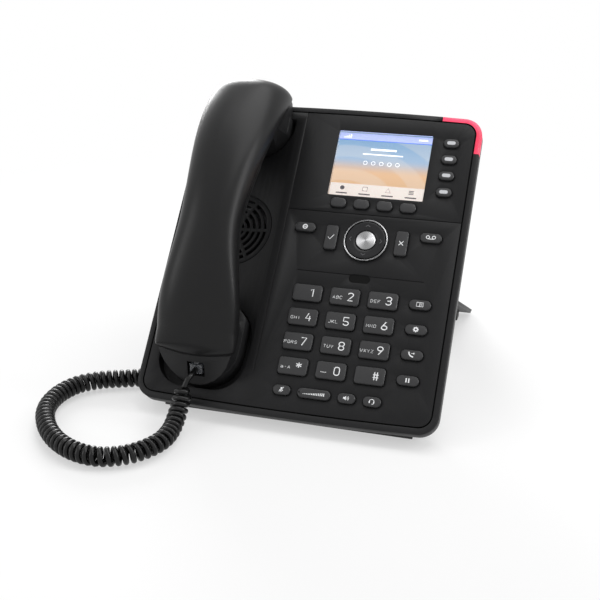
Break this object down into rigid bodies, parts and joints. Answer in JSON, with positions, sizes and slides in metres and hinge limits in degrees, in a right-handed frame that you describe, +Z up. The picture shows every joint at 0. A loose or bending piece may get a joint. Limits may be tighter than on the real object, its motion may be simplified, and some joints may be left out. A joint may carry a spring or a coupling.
{
  "type": "desk telephone",
  "caption": "Desk telephone with a corded handset in a cradle, colour display, dial and function keys, alert light and a clip-in stand.",
  "frame": {"origin": "centre of the underside of the front foot strip, on the table", "axes": "+X to the right seen from the front, +Y away from the user, +Z up"},
  "size_m": [0.2324, 0.2634, 0.1751],
  "materials": {
    "housing": "fine spark-eroded black moulding",
    "rim": "satin black moulding",
    "faceplate": "fine-grained black moulding",
    "alert_light": "translucent red light guide",
    "window": "clear display window",
    "display": "lit colour display in a metal frame",
    "bright_ring": "spun bright metal",
    "silicone": "moulded silicone mat",
    "circuit_board": "solder-masked board",
    "speaker": "driver with a pressed basket",
    "jack": "moulded socket blocks",
    "stand": "satin black moulding",
    "rubber": "matt black rubber",
    "steel": "zinc-plated screws",
    "hook": "black moulding",
    "pad": "satin black dished disc",
    "grip": "satin black shell",
    "grip_inner": "matt black shell",
    "clear_plug": "clear modular plug",
    "cord": "glossy black cord jacket",
    "line_key": "black key with a white lens",
    "key": "black key with printed legend"
  },
  "bodies": {
    "base": {"rear_housing": "housing", "front_frame": "rim", "faceplate": "faceplate", "alert_light": "alert_light", "display_window": "window", "display_module": "display", "nav_ring": "bright_ring", "keypad_mat": "silicone", "main_board": "circuit_board", "loudspeaker": "speaker", "rear_jacks": "jack", "handset_jacks": "jack", "stand": "stand", "rubber_feet": "rubber", "housing_screws": "steel", "cord_coil": "cord", "base_lead": "cord", "base_plug": "clear_plug"},
    "handset": {"handset_outer_shell": "grip", "handset_inner_shell": "grip_inner", "earpiece_capsule": "speaker", "mouthpiece_microphone": "speaker", "handset_plug": "clear_plug", "handset_lead": "cord"},
    "hook_switch": {"hook_switch": "hook"},
    "key_1": {"key_1": "key"},
    "key_2": {"key_2": "key"},
    "key_3": {"key_3": "key"},
    "key_4": {"key_4": "key"},
    "key_5": {"key_5": "key"},
    "key_6": {"key_6": "key"},
    "key_7": {"key_7": "key"},
    "key_8": {"key_8": "key"},
    "key_9": {"key_9": "key"},
    "key_star": {"key_star": "key"},
    "key_0": {"key_0": "key"},
    "key_hash": {"key_hash": "key"},
    "line_key_1": {"line_key_1": "line_key"},
    "line_key_2": {"line_key_2": "line_key"},
    "line_key_3": {"line_key_3": "line_key"},
    "line_key_4": {"line_key_4": "line_key"},
    "soft_key_1": {"soft_key_1": "key"},
    "soft_key_2": {"soft_key_2": "key"},
    "soft_key_3": {"soft_key_3": "key"},
    "soft_key_4": {"soft_key_4": "key"},
    "confirm_key": {"confirm_key": "key"},
    "cancel_key": {"cancel_key": "key"},
    "dnd_key": {"dnd_key": "key"},
    "voicemail_key": {"voicemail_key": "key"},
    "directory_key": {"directory_key": "key"},
    "settings_key": {"settings_key": "key"},
    "transfer_key": {"transfer_key": "key"},
    "hold_key": {"hold_key": "key"},
    "mute_key": {"mute_key": "key"},
    "speaker_key": {"speaker_key": "key"},
    "headset_key": {"headset_key": "key"},
    "ok_button": {"ok_button": "bright_ring"},
    "volume_rocker": {"volume_rocker": "key"},
    "nav_rocker": {"nav_rocker": "hook"},
    "nav_pad": {"nav_pad": "pad"}
  },
  "joints": [
    {"name": "handset_lift", "type": "slide", "parent": "base", "child": "handset", "axis": [0, -0.7314, 0.682], "range_m": [0, 0.06]},
    {"name": "hook_rise", "type": "slide", "parent": "base", "child": "hook_switch", "axis": [0, -0.7314, 0.682], "range_m": [0, 0.003]},
    {"name": "key_1_press", "type": "slide", "parent": "base", "child": "key_1", "axis": [0, 0.7314, -0.682], "range_m": [0, 0.0008], "stiffness_N_per_m": 500},
    {"name": "key_2_press", "type": "slide", "parent": "base", "child": "key_2", "axis": [0, 0.7314, -0.682], "range_m": [0, 0.0008], "stiffness_N_per_m": 500},
    {"name": "key_3_press", "type": "slide", "parent": "base", "child": "key_3", "axis": [0, 0.7314, -0.682], "range_m": [0, 0.0008], "stiffness_N_per_m": 500},
    {"name": "key_4_press", "type": "slide", "parent": "base", "child": "key_4", "axis": [0, 0.7314, -0.682], "range_m": [0, 0.0008], "stiffness_N_per_m": 500},
    {"name": "key_5_press", "type": "slide", "parent": "base", "child": "key_5", "axis": [0, 0.7314, -0.682], "range_m": [0, 0.0008], "stiffness_N_per_m": 500},
    {"name": "key_6_press", "type": "slide", "parent": "base", "child": "key_6", "axis": [0, 0.7314, -0.682], "range_m": [0, 0.0008], "stiffness_N_per_m": 500},
    {"name": "key_7_press", "type": "slide", "parent": "base", "child": "key_7", "axis": [0, 0.7314, -0.682], "range_m": [0, 0.0008], "stiffness_N_per_m": 500},
    {"name": "key_8_press", "type": "slide", "parent": "base", "child": "key_8", "axis": [0, 0.7314, -0.682], "range_m": [0, 0.0008], "stiffness_N_per_m": 500},
    {"name": "key_9_press", "type": "slide", "parent": "base", "child": "key_9", "axis": [0, 0.7314, -0.682], "range_m": [0, 0.0008], "stiffness_N_per_m": 500},
    {"name": "key_star_press", "type": "slide", "parent": "base", "child": "key_star", "axis": [0, 0.7314, -0.682], "range_m": [0, 0.0008], "stiffness_N_per_m": 500},
    {"name": "key_0_press", "type": "slide", "parent": "base", "child": "key_0", "axis": [0, 0.7314, -0.682], "range_m": [0, 0.0008], "stiffness_N_per_m": 500},
    {"name": "key_hash_press", "type": "slide", "parent": "base", "child": "key_hash", "axis": [0, 0.7314, -0.682], "range_m": [0, 0.0008], "stiffness_N_per_m": 500},
    {"name": "line_key_1_press", "type": "slide", "parent": "base", "child": "line_key_1", "axis": [0, 0.7314, -0.682], "range_m": [0, 0.0008], "stiffness_N_per_m": 500},
    {"name": "line_key_2_press", "type": "slide", "parent": "base", "child": "line_key_2", "axis": [0, 0.7314, -0.682], "range_m": [0, 0.0008], "stiffness_N_per_m": 500},
    {"name": "line_key_3_press", "type": "slide", "parent": "base", "child": "line_key_3", "axis": [0, 0.7314, -0.682], "range_m": [0, 0.0008], "stiffness_N_per_m": 500},
    {"name": "line_key_4_press", "type": "slide", "parent": "base", "child": "line_key_4", "axis": [0, 0.7314, -0.682], "range_m": [0, 0.0008], "stiffness_N_per_m": 500},
    {"name": "soft_key_1_press", "type": "slide", "parent": "base", "child": "soft_key_1", "axis": [0, 0.7314, -0.682], "range_m": [0, 0.0008], "stiffness_N_per_m": 500},
    {"name": "soft_key_2_press", "type": "slide", "parent": "base", "child": "soft_key_2", "axis": [0, 0.7314, -0.682], "range_m": [0, 0.0008], "stiffness_N_per_m": 500},
    {"name": "soft_key_3_press", "type": "slide", "parent": "base", "child": "soft_key_3", "axis": [0, 0.7314, -0.682], "range_m": [0, 0.0008], "stiffness_N_per_m": 500},
    {"name": "soft_key_4_press", "type": "slide", "parent": "base", "child": "soft_key_4", "axis": [0, 0.7314, -0.682], "range_m": [0, 0.0008], "stiffness_N_per_m": 500},
    {"name": "confirm_key_press", "type": "slide", "parent": "base", "child": "confirm_key", "axis": [0, 0.7314, -0.682], "range_m": [0, 0.0008], "stiffness_N_per_m": 500},
    {"name": "cancel_key_press", "type": "slide", "parent": "base", "child": "cancel_key", "axis": [0, 0.7314, -0.682], "range_m": [0, 0.0008], "stiffness_N_per_m": 500},
    {"name": "dnd_key_press", "type": "slide", "parent": "base", "child": "dnd_key", "axis": [0, 0.7314, -0.682], "range_m": [0, 0.0008], "stiffness_N_per_m": 500},
    {"name": "voicemail_key_press", "type": "slide", "parent": "base", "child": "voicemail_key", "axis": [0, 0.7314, -0.682], "range_m": [0, 0.0008], "stiffness_N_per_m": 500},
    {"name": "directory_key_press", "type": "slide", "parent": "base", "child": "directory_key", "axis": [0, 0.7314, -0.682], "range_m": [0, 0.0008], "stiffness_N_per_m": 500},
    {"name": "settings_key_press", "type": "slide", "parent": "base", "child": "settings_key", "axis": [0, 0.7314, -0.682], "range_m": [0, 0.0008], "stiffness_N_per_m": 500},
    {"name": "transfer_key_press", "type": "slide", "parent": "base", "child": "transfer_key", "axis": [0, 0.7314, -0.682], "range_m": [0, 0.0008], "stiffness_N_per_m": 500},
    {"name": "hold_key_press", "type": "slide", "parent": "base", "child": "hold_key", "axis": [0, 0.7314, -0.682], "range_m": [0, 0.0008], "stiffness_N_per_m": 500},
    {"name": "mute_key_press", "type": "slide", "parent": "base", "child": "mute_key", "axis": [0, 0.7314, -0.682], "range_m": [0, 0.0008], "stiffness_N_per_m": 500},
    {"name": "speaker_key_press", "type": "slide", "parent": "base", "child": "speaker_key", "axis": [0, 0.7314, -0.682], "range_m": [0, 0.0008], "stiffness_N_per_m": 500},
    {"name": "headset_key_press", "type": "slide", "parent": "base", "child": "headset_key", "axis": [0, 0.7314, -0.682], "range_m": [0, 0.0008], "stiffness_N_per_m": 500},
    {"name": "ok_button_press", "type": "slide", "parent": "base", "child": "ok_button", "axis": [0, 0.7314, -0.682], "range_m": [0, 0.0008], "stiffness_N_per_m": 500},
    {"name": "volume_rocker_tilt", "type": "hinge", "parent": "base", "child": "volume_rocker", "pos_m": [0.0181, -0.00215, 0.01943], "axis": [0, 0.682, 0.7314], "range_deg": [-2.5, 2.5], "stiffness_Nm_per_rad": 0.05},
    {"name": "nav_tilt_up_down", "type": "hinge", "parent": "base", "child": "nav_rocker", "pos_m": [0.0315, 0.06373, 0.09008], "axis": [1, 0, 0], "range_deg": [-2, 2], "stiffness_Nm_per_rad": 0.05},
    {"name": "nav_tilt_left_right", "type": "hinge", "parent": "nav_rocker", "child": "nav_pad", "pos_m": [0.0315, 0.06373, 0.09008], "axis": [0, 0.682, 0.7314], "range_deg": [-2, 2], "stiffness_Nm_per_rad": 0.05}
  ],
  "couplings": [
    {"joint": "hook_rise", "follows": "handset_lift", "ratio": 0.05}
  ]
}
